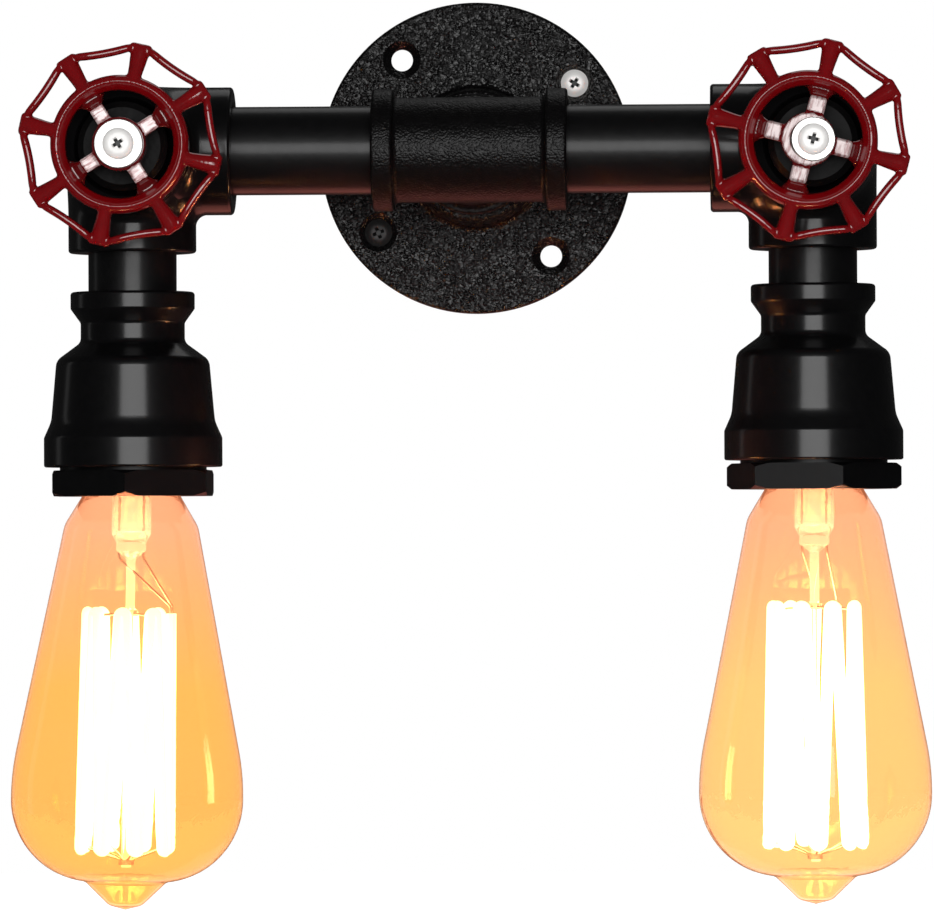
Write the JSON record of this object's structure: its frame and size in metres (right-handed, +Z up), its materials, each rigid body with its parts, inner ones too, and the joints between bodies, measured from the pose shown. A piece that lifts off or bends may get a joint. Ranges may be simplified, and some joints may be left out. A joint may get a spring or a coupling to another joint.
{
  "type": "pipe wall light",
  "caption": "Wall light of black pipe fittings with swinging arms, red handwheels and clear amber filament bulbs that hang from hexagon-ended pipe reducers.",
  "frame": {"origin": "middle of the flange on the wall face", "axes": "+Y into the wall, so the light stands out towards -Y; +Z up; +X to the right as seen from the front"},
  "size_m": [0.2561, 0.0992, 0.2552],
  "materials": {
    "cast_black": "satin black coating, lightly speckled",
    "pipe_black": "smooth satin black paint",
    "red_enamel": "glossy dark red enamel",
    "zinc": "zinc plated",
    "strap_steel": "zinc plated sheet",
    "brass": "plain",
    "cap_brass": "nickelled",
    "solder": "soft solder",
    "porcelain": "glazed",
    "black_glass": "black insulating glass",
    "amber_glass": "clear amber",
    "clear_glass": "clear",
    "support_wire": "drawn wire",
    "filament": "glowing wire",
    "flex": "matt insulation",
    "block_plastic": "matt"
  },
  "bodies": {
    "base": {"wall_flange": "cast_black", "mounting_strap": "strap_steel", "flange_screws": "zinc", "earth_screw": "brass", "earth_washer": "zinc", "flange_nipple": "pipe_black", "tee": "cast_black", "terminal_block": "block_plastic", "terminal_screws": "brass", "left_arm_pipe": "pipe_black", "left_arm_lead": "flex", "right_arm_pipe": "pipe_black", "right_arm_lead": "flex"},
    "left_arm": {"left_elbow": "cast_black", "left_front_plug": "cast_black", "left_handwheel_washer": "zinc", "left_handwheel_screw": "zinc", "left_drop_nipple": "pipe_black", "left_reducer": "cast_black", "left_hex_bush": "cast_black", "left_lampholder_body": "porcelain", "left_lampholder_shell": "brass", "left_lampholder_contact": "brass", "left_lampholder_terminals": "brass", "left_drop_lead": "flex"},
    "left_wheel": {"left_handwheel": "red_enamel"},
    "left_bulb": {"left_bulb_cap": "cap_brass", "left_bulb_insulator": "black_glass", "left_bulb_contact": "solder", "left_bulb_glass": "amber_glass", "left_bulb_stem": "clear_glass", "left_bulb_support_wires": "support_wire", "left_bulb_lead_wires": "support_wire", "left_bulb_filament": "filament"},
    "right_arm": {"right_elbow": "cast_black", "right_front_plug": "cast_black", "right_handwheel_washer": "zinc", "right_handwheel_screw": "zinc", "right_drop_nipple": "pipe_black", "right_reducer": "cast_black", "right_hex_bush": "cast_black", "right_lampholder_body": "porcelain", "right_lampholder_shell": "brass", "right_lampholder_contact": "brass", "right_lampholder_terminals": "brass", "right_drop_lead": "flex"},
    "right_wheel": {"right_handwheel": "red_enamel"},
    "right_bulb": {"right_bulb_cap": "cap_brass", "right_bulb_insulator": "black_glass", "right_bulb_contact": "solder", "right_bulb_glass": "amber_glass", "right_bulb_stem": "clear_glass", "right_bulb_support_wires": "support_wire", "right_bulb_lead_wires": "support_wire", "right_bulb_filament": "filament"}
  },
  "joints": [
    {"name": "left_arm_swing", "type": "hinge", "parent": "base", "child": "left_arm", "pos_m": [-0.0943, -0.0515, 0], "axis": [-1, 0, 0], "range_deg": [-5, 120]},
    {"name": "left_wheel_turn", "type": "hinge", "parent": "left_arm", "child": "left_wheel", "pos_m": [-0.0943, -0.088, 0], "axis": [0, -1, 0], "continuous": true},
    {"name": "left_bulb_out", "type": "slide", "parent": "left_arm", "child": "left_bulb", "axis": [-0.0201, 0, -0.9998], "range_m": [0, 0.032]},
    {"name": "right_arm_swing", "type": "hinge", "parent": "base", "child": "right_arm", "pos_m": [0.0951, -0.0515, 0], "axis": [-1, 0, 0], "range_deg": [-5, 120]},
    {"name": "right_wheel_turn", "type": "hinge", "parent": "right_arm", "child": "right_wheel", "pos_m": [0.0937, -0.088, 0], "axis": [0, -1, 0], "continuous": true},
    {"name": "right_bulb_out", "type": "slide", "parent": "right_arm", "child": "right_bulb", "axis": [0, 0, -1], "range_m": [0, 0.032]}
  ]
}
